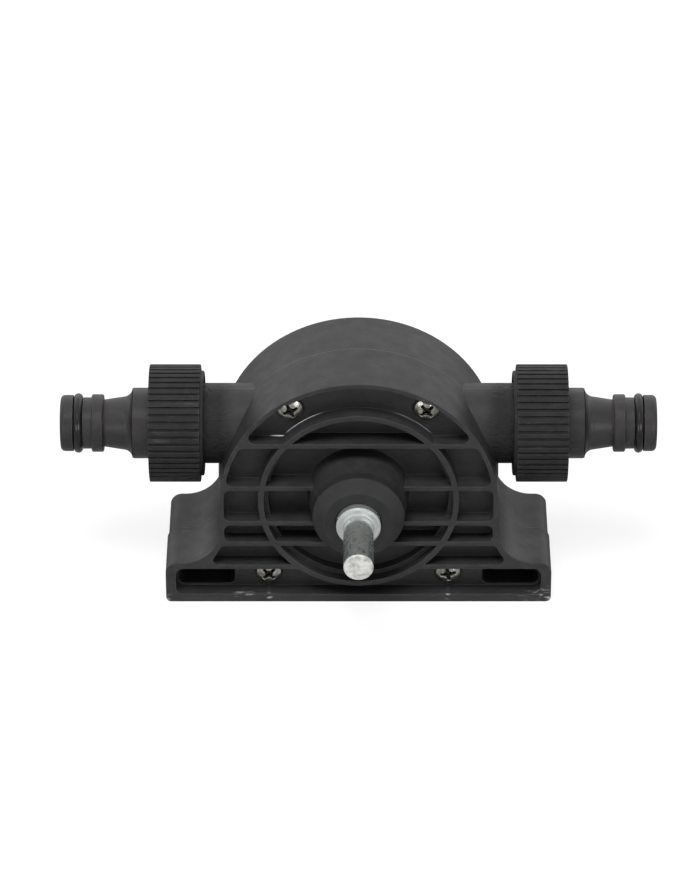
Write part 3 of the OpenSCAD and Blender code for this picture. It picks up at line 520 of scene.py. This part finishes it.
def faced_ends(tree, coords, colour, rough):
    """The looks that only the shaft has: its faces turned to the drill are pale and matt, and the pale colour
    on their chamfered rims is a painted highlight, the tip is sawn and pitted, and the flank has a sheen that
    runs round it."""
    along = add(tree, "ShaderNodeSeparateXYZ", {"Vector": coords}).outputs["Y"]
    tip = overlap(tree, (along, SAWN_TIP_Y))
    facing = add(tree, "ShaderNodeNewGeometry").outputs["True Normal"]
    turned = add(tree, "ShaderNodeSeparateXYZ", {"Vector": facing}).outputs["Y"]
    # The mask takes in the chamfers, so that their rims get a painted highlight in the faces' pale colours
    face = add(tree, "ShaderNodeMapRange", {"Value": turned, "From Min": -0.6, "From Max": -0.72})
    pits = add(tree, "ShaderNodeTexNoise", {"Vector": coords, "Scale": blots(2.4), "Detail": 5.0,
        "Roughness": 0.55, "Distortion": 1.0})
    pitted = add(tree, "ShaderNodeMapRange", {"Value": pits, "From Min": 0.4, "From Max": 0.65})
    sawn = add(tree, "ShaderNodeMix", {0: pitted, COLOUR_A: linear("#c2c2bf"), COLOUR_B: linear("#767570")},
        data_type="RGBA")
    faced = add(tree, "ShaderNodeMix", {0: tip, COLOUR_A: linear("#dfe2e2"), COLOUR_B: sawn},
        data_type="RGBA")
    shown = add(tree, "ShaderNodeMix", {0: face, COLOUR_A: colour, COLOUR_B: faced}, data_type="RGBA")
    matt = add(tree, "ShaderNodeMapRange", {"Value": tip, "To Min": 0.12, "To Max": 0.3})
    sawn_face = add(tree, "ShaderNodeMath", {0: face, 1: tip}, operation="MULTIPLY")
    return {
        "Base Color": shown,
        "Roughness": add(tree, "ShaderNodeMath", {0: face, 1: matt, 2: rough}, operation="MULTIPLY_ADD"),
        "Metallic": add(tree, "ShaderNodeMapRange", {"Value": sawn_face, "To Min": 0.88, "To Max": 0.35}),
        "Anisotropic": 0.6,
        "Tangent": add(tree, "ShaderNodeTangent", direction_type="RADIAL", axis="Y"),
    }


def plated_screw(name):
    """Bright zinc plated screw: light warm grey metal, smooth and slightly uneven, whose cross recess is
    darkened with painted shade."""
    made, tree, coords = start_material(name)
    uneven = add(tree, "ShaderNodeTexNoise", {"Vector": coords, "Scale": blots(1.4), "Detail": 3.0,
        "Distortion": 0.6})
    spread = add(tree, "ShaderNodeMapRange", {"Value": uneven, "From Min": 0.35, "From Max": 0.65})
    bare = add(tree, "ShaderNodeMix", {0: spread, COLOUR_A: linear("#dcdad2"), COLOUR_B: linear("#97958b")},
        data_type="RGBA")
    # The cross recess is painted dark brown: painted shade inside the recess
    sunk = add(tree, "ShaderNodeAttribute", attribute_name="recess").outputs["Fac"]
    recess = add(tree, "ShaderNodeMapRange", {"Value": sunk, "From Min": 0.08, "From Max": 0.45})
    skin = add(tree, "ShaderNodeBsdfPrincipled", {
        "Base Color": layered(tree, bare, [(recess, 1.0, "#24221f")]),
        "Metallic": add(tree, "ShaderNodeMapRange", {"Value": recess, "To Min": 1.0, "To Max": 0.5}),
        "Roughness": add(tree, "ShaderNodeMapRange", {"Value": uneven, "From Min": 0.3, "From Max": 0.7,
            "To Min": 0.12, "To Max": 0.28}),
        "Normal": add(tree, "ShaderNodeBump", {"Height": uneven, "Distance": 0.12 * MM})})
    add(tree, "ShaderNodeOutputMaterial", {"Surface": skin})
    return made


def sintered_bronze(name):
    """Oil filled sintered bronze: dull brown yellow metal with open pores."""
    made, tree, coords = start_material(name)
    # Pores of about 0.1 mm, drawn at 0.25 mm so that they show
    pores = add(tree, "ShaderNodeTexNoise", {"Vector": coords, "Scale": blots(0.25), "Detail": 3.0})
    spread = add(tree, "ShaderNodeMapRange", {"Value": pores, "From Min": 0.35, "From Max": 0.6})
    colour = add(tree, "ShaderNodeMix", {0: spread, COLOUR_A: linear("#6b4f27"), COLOUR_B: linear("#b08d4a")},
        data_type="RGBA")
    skin = add(tree, "ShaderNodeBsdfPrincipled", {"Base Color": colour, "Metallic": 1.0,
        "Roughness": add(tree, "ShaderNodeMapRange", {"Value": pores, "From Min": 0.3, "From Max": 0.7,
            "To Min": 0.5, "To Max": 0.35}),
        "Normal": add(tree, "ShaderNodeBump", {"Height": pores, "Distance": 0.01 * MM})})
    add(tree, "ShaderNodeOutputMaterial", {"Surface": skin})
    return made


def floor_paper(name):
    """Matt white paper sweep, which partly glows for the camera so that its shadow stays light, and looks
    dim in reflections."""
    made, tree, coords = start_material(name)
    fibres = add(tree, "ShaderNodeTexNoise", {"Vector": coords, "Scale": blots(1.2)})
    colour = add(tree, "ShaderNodeMix", {0: fibres, COLOUR_A: linear("#f4f4f4"), COLOUR_B: linear("#f7f7f7")},
        data_type="RGBA")
    paper = add(tree, "ShaderNodeBsdfPrincipled", {"Base Color": colour, "Roughness": 0.9,
        "Specular IOR Level": 0.1})
    ray = add(tree, "ShaderNodeLightPath").outputs
    strength = add(tree, "ShaderNodeMapRange", {"Value": ray["Is Glossy Ray"], "To Min": 1.0,
        "To Max": FLOOR_MIRRORED})
    glow = add(tree, "ShaderNodeEmission", {"Color": linear("#ffffff"), "Strength": strength})
    seen = add(tree, "ShaderNodeMath", {0: ray["Is Camera Ray"], 1: FLOOR_GLOW}, operation="MULTIPLY")
    share = add(tree, "ShaderNodeMath", {0: seen, 1: ray["Is Glossy Ray"]}, operation="MAXIMUM")
    mixed = add(tree, "ShaderNodeMixShader", {0: share, 1: paper, 2: glow})
    add(tree, "ShaderNodeOutputMaterial", {"Surface": mixed})
    return made


body_plastic = moulded_plastic("glass_filled_polypropylene_housing", "#1e1e1f", "#252526", "#6a6a6c", 0.46,
    0.5, housing=True)
# The nut's shades are darker than the housing's, partly as painted shade like on the spouts, and its pale
# edge colour paints highlights on the ribs' edges as well as wear
nut_plastic = moulded_plastic("polypropylene_union_nut", "#151515", "#1b1b1c", "#78787a", 0.5, 0.33)
adaptor_plastic = moulded_plastic("abs_hose_adaptor", "#1e1d1e", "#252324", "#605d5c", 0.38, 0.5)
seal_rubber = nitrile_rubber("nitrile_sealing_rubber", "#0b0b0b", 0.12)
vane_rubber = nitrile_rubber("moulded_vane_rubber", "#141415", 0.5)
shaft_steel = turned_steel("zinc_plated_shaft", "#c8ceca", "#6f7773", 0.22, scuff=0.25, dents=0.006,
    shank=True)
screw_steel = plated_screw("bright_plated_screw")
spring_steel = turned_steel("spring_steel", "#8e9093", "#5f6164", 0.3)
washer_steel = turned_steel("stamped_stainless_washer", "#b4b7ba", "#8a8d90", 0.28)
bronze = sintered_bronze("oil_filled_sintered_bronze")


# Rounded copies of CAD nodes
def welded(node):
    """A CAD node's own shape with its vertices joined and its flat triangles merged to faces."""
    shape = bmesh.new()
    shape.from_mesh(frame["nodes"][node].data)
    bmesh.ops.remove_doubles(shape, verts=shape.verts, dist=WELD_GAP * MM)
    bmesh.ops.dissolve_limit(shape, angle_limit=math.radians(FLAT_ANGLE), verts=shape.verts,
        edges=shape.edges)
    bmesh.ops.remove_doubles(shape, verts=shape.verts, dist=MERGE_GAP * MM)
    return shape


def on_spout_root(place):
    """Whether a place in millimetres is where a spout's pipe grows out of the drum."""
    far = math.hypot(place.y, place.z - SPOUT_Z)
    return ROOT_X[0] < abs(place.x) < ROOT_X[1] and abs(far - PIPE_R) < ROOT_REACH


def mark_edges(shape):
    """Gives the sharp edges the weight that the rounding follows. The mould line's step and the edges where
    the spouts grow out of the drum stay sharp."""
    weight = shape.edges.layers.float.new("bevel_weight_edge")
    for edge in shape.edges:
        at_seam = all(abs(v.co.y) < SEAM_STEP * MM for v in edge.verts)
        at_root = all(on_spout_root(v.co / MM) for v in edge.verts)
        if edge.is_manifold and edge.calc_face_angle() > math.radians(SHARP_ANGLE):
            if at_root or at_seam or edge.calc_length() < SHORTEST_EDGE * MM:
                edge.smooth = False
            else:
                edge[weight] = 1.0


def rounded_copy(node, name, material, width, shrink=None):
    """A CAD node's own shape with every sharp edge rounded, as a mould or a lathe leaves it."""
    shape = welded(node)
    if shrink:
        shrink(shape)
    mark_edges(shape)
    for face in shape.faces:
        face.smooth = True
    mesh = bpy.data.meshes.new(name)
    shape.to_mesh(mesh)
    shape.free()
    raw = new_object(name + "_raw", mesh)
    edge = raw.modifiers.new("edge", "BEVEL")
    edge.width = width * MM
    edge.segments = 2
    edge.limit_method = "WEIGHT"
    edge.use_clamp_overlap = False
    even = raw.modifiers.new("even", "WEIGHTED_NORMAL")
    even.keep_sharp = True
    done = frozen(raw)
    drop(raw)
    return new_object(name, done, frame["nodes"][node]["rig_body"], material, (node,))


def shrink_spouts(shape):
    """Takes the plain spout ends down to a core, which the threads then cover."""
    start_x, core_r, outer_r = SPOUT_THREAD[0] - 0.5, THREAD_ROOT_R - 0.2, THREAD_CREST_R + 0.2
    for vert in shape.verts:
        x, y, z = (c / MM for c in vert.co)
        far = math.hypot(y, z - SPOUT_Z)
        if abs(x) > start_x and THREAD_ROOT_R < far < outer_r:
            ratio = core_r / far
            vert.co = (x * MM, y * ratio * MM, (SPOUT_Z + (z - SPOUT_Z) * ratio) * MM)


# Threads
def around_spout(side, s, r, share):
    """A point at distance s out along a spout and radius r, share of a turn round its outward axis."""
    turn = 2 * math.pi * share
    return (side * s, -side * r * math.sin(turn), SPOUT_Z + r * math.cos(turn))


def thread_skin(name, side, span, root_r, crest_r, back_r, body, material):
    """A right-hand thread round a spout's axis: rows of rings whose radius follows the helix, fading out
    at both ends, and closed by one ring at back_r inside the wall that carries it."""
    shares = [k / THREAD_TURN_STEPS for k in range(THREAD_TURN_STEPS)]
    step = THREAD_PITCH / THREAD_PITCH_STEPS
    places = [span[0] + i * step for i in range(round((span[1] - span[0]) / step) + 1)]
    rows = []
    for s in places:
        fade = max(0.0, min(1.0, (s - span[0]) / THREAD_FADE, (span[1] - s) / THREAD_FADE))
        row = []
        for share in shares:
            crest = 0.5 - 0.5 * math.cos(2 * math.pi * (s / THREAD_PITCH - share))
            r = root_r + (crest_r - root_r) * crest * fade
            row.append(around_spout(side, s, r, share))
        rows.append(row)
    first = [around_spout(side, places[0], back_r, share) for share in shares]
    last = [around_spout(side, places[-1], back_r, share) for share in shares]
    new_object(name, grid_mesh(name, [first] + rows + [last]), body, material)


# Screws
def head_point(t):
    """Radius and height of a pan head's profile, from the middle of its top (t = 0) to its seat (t = 1)."""
    crown = SCREW_HEAD_H * CROWN_H
    if t < CROWN_PROFILE:
        u = t / CROWN_PROFILE
        return SCREW_HEAD_R * CROWN_R * u, -SCREW_HEAD_H + crown * u ** CROWN_POWER
    u = (t - CROWN_PROFILE) / (1 - CROWN_PROFILE)
    bulge = CROWN_R + (1 - CROWN_R) * math.sin(u * math.pi / 2)
    return SCREW_HEAD_R * bulge, (SCREW_HEAD_H - crown) * (u - 1)


def cross_depth(x, z):
    """Depth of the tapered cross recess at a place on the head."""
    depth = CROSS_DEPTH * max(0.0, 1 - math.hypot(x, z) / CROSS_PIT_R)
    for along, across in ((abs(x), abs(z)), (abs(z), abs(x))):
        out = along / CROSS_REACH
        half = CROSS_HALF_W - CROSS_NARROWING * out
        wall = max(0.0, min(1.0, (half - across) / CROSS_WALL, (CROSS_REACH - along) / CROSS_END_WALL))
        depth = max(depth, CROSS_DEPTH * wall * (1 - CROSS_RISE * out))
    return depth


def screw_mesh():
    """One screw along +Y with its seat at the origin: domed head with a cross recess, plain shank and tip.
    A pinhole stands for the point in the middle of the head and of the tip."""
    turns = [2 * math.pi * k / SCREW_TURN_STEPS for k in range(SCREW_TURN_STEPS)]
    pinhole_t, pinhole_r = 0.02 / SCREW_HEAD_RINGS, 0.01
    rows, sunk = [], []
    for i in range(SCREW_HEAD_RINGS + 1):
        r, y = head_point(max(i / SCREW_HEAD_RINGS, pinhole_t))
        row = []
        for turn in turns:
            x, z = r * math.cos(turn), r * math.sin(turn)
            depth = cross_depth(x, z)
            row.append((x, y + depth, z))
            sunk.append(depth / CROSS_DEPTH)
        rows.append(row)
    for r, y in ((SCREW_SHANK_R, 0.0), (SCREW_SHANK_R, SCREW_LEN - SCREW_SHANK_R), (SCREW_TIP_R, SCREW_LEN),
            (pinhole_r, SCREW_LEN)):
        rows.append([(r * math.cos(turn), y, r * math.sin(turn)) for turn in turns])
    mesh = grid_mesh("screw", rows)
    recess = mesh.attributes.new("recess", "FLOAT", "POINT")
    recess.data.foreach_set("value", sunk + [0.0] * (len(mesh.vertices) - len(sunk)))
    return mesh


def repeater():
    """Node group that sets a piece on every point of a mesh, turned by the points' turn attribute."""
    group = bpy.data.node_groups.new("repeat_piece", "GeometryNodeTree")
    for name, kind in (("Points", "Geometry"), ("Piece", "Object"), ("Finish", "Material")):
        group.interface.new_socket(name, in_out="INPUT", socket_type="NodeSocket" + kind)
    group.interface.new_socket("Geometry", in_out="OUTPUT", socket_type="NodeSocketGeometry")
    given = add(group, "NodeGroupInput").outputs
    turn = add(group, "GeometryNodeInputNamedAttribute", {"Name": "turn"}, data_type="FLOAT_VECTOR")
    rotation = add(group, "FunctionNodeEulerToRotation", {"Euler": turn})
    piece = add(group, "GeometryNodeObjectInfo", {"Object": given["Piece"]})
    placed = add(group, "GeometryNodeInstanceOnPoints", {"Points": given["Points"],
        "Instance": piece.outputs["Geometry"], "Rotation": rotation})
    real = add(group, "GeometryNodeRealizeInstances", {"Geometry": placed})
    done = add(group, "GeometryNodeSetMaterial", {"Geometry": real, "Material": given["Finish"]})
    add(group, "NodeGroupOutput", {"Geometry": done})
    return group


def repeated(name, piece_mesh, places, turns, group, finish):
    """The mesh of a piece copied to each place in millimetres, turned by Euler angles in degrees."""
    piece = new_object(name + "_piece", piece_mesh)
    points = bpy.data.meshes.new(name + "_points")
    points.from_pydata([tuple(c * MM for c in p) for p in places], [], [])
    turned = points.attributes.new("turn", "FLOAT_VECTOR", "POINT")
    for value, angles in zip(turned.data, turns):
        value.vector = Euler([math.radians(a) for a in angles])
    carrier = new_object(name + "_carrier", points)
    nodes = carrier.modifiers.new("repeat", "NODES")
    nodes.node_group = group
    values = {"Piece": piece, "Finish": finish}
    for socket in group.interface.items_tree:
        if socket.name in values:
            nodes[socket.identifier] = values[socket.name]
    done = frozen(carrier)
    drop(carrier)
    drop(piece)
    return done


def screws(group):
    """The four screws of the housing, as one piece."""
    places = [(x, SCREW_SEAT_Y, z) for x, z in SCREW_PLACES]
    turns = [(0, -turn, 0) for turn in SCREW_TURNS]
    mesh = repeated("screws", screw_mesh(), places, turns, group, screw_steel)
    new_object("screws", mesh, "pump", None, ("housing_screws",))


# Pieces
rounded_copy("pump_body", "housing", body_plastic, HOUSING_ROUND, shrink_spouts)
rounded_copy("rear_cover", "cover", body_plastic, HOUSING_ROUND)
rounded_copy("drive_shaft", "shaft", shaft_steel, SHAFT_ROUND)
screws(repeater())
for side, sign in SIDES.items():
    rounded_copy(f"{side}_union_nut", f"{side}_nut", nut_plastic, NUT_ROUND)
    thread_skin(f"{side}_spout_thread", sign, SPOUT_THREAD, THREAD_ROOT_R, THREAD_CREST_R, THREAD_BACK_R,
        "pump", body_plastic)
    thread_skin(f"{side}_nut_thread", sign, NUT_THREAD, NUT_ROOT_R, NUT_CREST_R, NUT_BACK_R,
        f"{side}_nut", nut_plastic)

# CAD nodes that keep their own shape
FINISHES = {"front_bushing": bronze, "rear_bushing": bronze, "impeller_hub": bronze,
    "shaft_seal": seal_rubber, "cover_seal": seal_rubber, "seal_spring": spring_steel,
    "thrust_washer": washer_steel, "drive_key": washer_steel,
    "impeller": vane_rubber, "retaining_ring": spring_steel}
for side in SIDES:
    FINISHES[f"{side}_hose_adaptor"] = adaptor_plastic
    FINISHES[f"{side}_hose_o_ring"] = seal_rubber
    FINISHES[f"{side}_sealing_washer"] = seal_rubber
for node, finish in FINISHES.items():
    mesh = frame["nodes"][node].data
    mesh.materials.clear()
    mesh.materials.append(finish)


# Studio
def studio_floor():
    """White floor, a hair below the base so that the two faces don't lie in one plane."""
    half, low = FLOOR_HALF, -FLOOR_DROP
    corners = [(-half, -half, low), (half, -half, low), (half, half, low), (-half, half, low)]
    mesh = bpy.data.meshes.new("floor")
    mesh.from_pydata(corners, [], [(0, 1, 2, 3)])
    new_object("floor", mesh, material=floor_paper("studio_paper"))


def soft_box(name, place, size, watts, mirrored):
    """A lamp like a soft box, turned to the object and seen in reflections if mirrored is set."""
    lamp = bpy.data.lights.new(name, "AREA")
    lamp.shape = "RECTANGLE"
    lamp.size, lamp.size_y = size
    lamp.energy = watts
    made = bpy.data.objects.new(name, lamp)
    made.visible_glossy = mirrored
    made.location = place
    made.rotation_mode = "QUATERNION"
    made.rotation_quaternion = (Vector(LAMP_AIM) - Vector(place)).to_track_quat("-Z", "Y")
    bpy.context.scene.collection.objects.link(made)


def studio_world():
    """White backdrop for the camera, and weaker light for reflections, brighter behind, and for the rest."""
    world = bpy.data.worlds.new("studio")
    bpy.context.scene.world = world
    world.use_nodes = True
    tree = world.node_tree
    tree.nodes.clear()
    ray = add(tree, "ShaderNodeLightPath").outputs
    seen = add(tree, "ShaderNodeMath", {0: ray["Is Camera Ray"], 1: ray["Is Transmission Ray"]},
        operation="MAXIMUM")
    # Reflections find a dim front and a bright back
    around = add(tree, "ShaderNodeTexCoord").outputs["Generated"]
    way = add(tree, "ShaderNodeSeparateXYZ", {"Vector": around}).outputs["Y"]
    graded = add(tree, "ShaderNodeMapRange", {"Value": way, "From Min": FRONT_WAY, "From Max": BACK_WAY,
        "To Min": WORLD_FRONT, "To Max": WORLD_BACK})
    mirrored = add(tree, "ShaderNodeMath", {0: ray["Is Glossy Ray"], 1: graded}, operation="MULTIPLY")
    strength = add(tree, "ShaderNodeMath", {0: mirrored, 1: WORLD_DIFFUSE}, operation="MAXIMUM")
    soft = add(tree, "ShaderNodeBackground", {"Color": linear("#ffffff"), "Strength": strength})
    white = add(tree, "ShaderNodeBackground", {"Color": linear("#ffffff"), "Strength": 1.0})
    mixed = add(tree, "ShaderNodeMixShader", {0: seen, 1: soft, 2: white})
    add(tree, "ShaderNodeOutputWorld", {"Surface": mixed})


def photo_camera():
    """The camera that took the photograph, level across and tilted down to the object."""
    data = bpy.data.cameras.new("camera")
    data.sensor_width = SENSOR
    data.lens = FOCAL_PX * SENSOR / PHOTO_H_PX
    data.shift_x = (PHOTO_W_PX / 2 - CENTRE_X_PX) / PHOTO_H_PX
    data.clip_start, data.clip_end = 0.05, 20
    made = bpy.data.objects.new("camera", data)
    tilt = math.radians(CAMERA_ELEVATION)
    target = Vector((0, 0, CAMERA_TARGET_Z)) * MM
    made.location = target + Vector((0, -math.cos(tilt), math.sin(tilt))) * CAMERA_DISTANCE * MM
    made.rotation_mode = "QUATERNION"
    made.rotation_quaternion = (target - made.location).to_track_quat("-Z", "Y")
    bpy.context.scene.collection.objects.link(made)
    bpy.context.scene.camera = made


studio_floor()
studio_world()
soft_box("key", KEY_PLACE, KEY_SIZE, KEY_WATTS, False)
for name, (place, watts) in GLINTS.items():
    soft_box(name, place, GLINT_SIZE, watts, True)
photo_camera()
bpy.context.scene.view_settings.view_transform = "Standard"
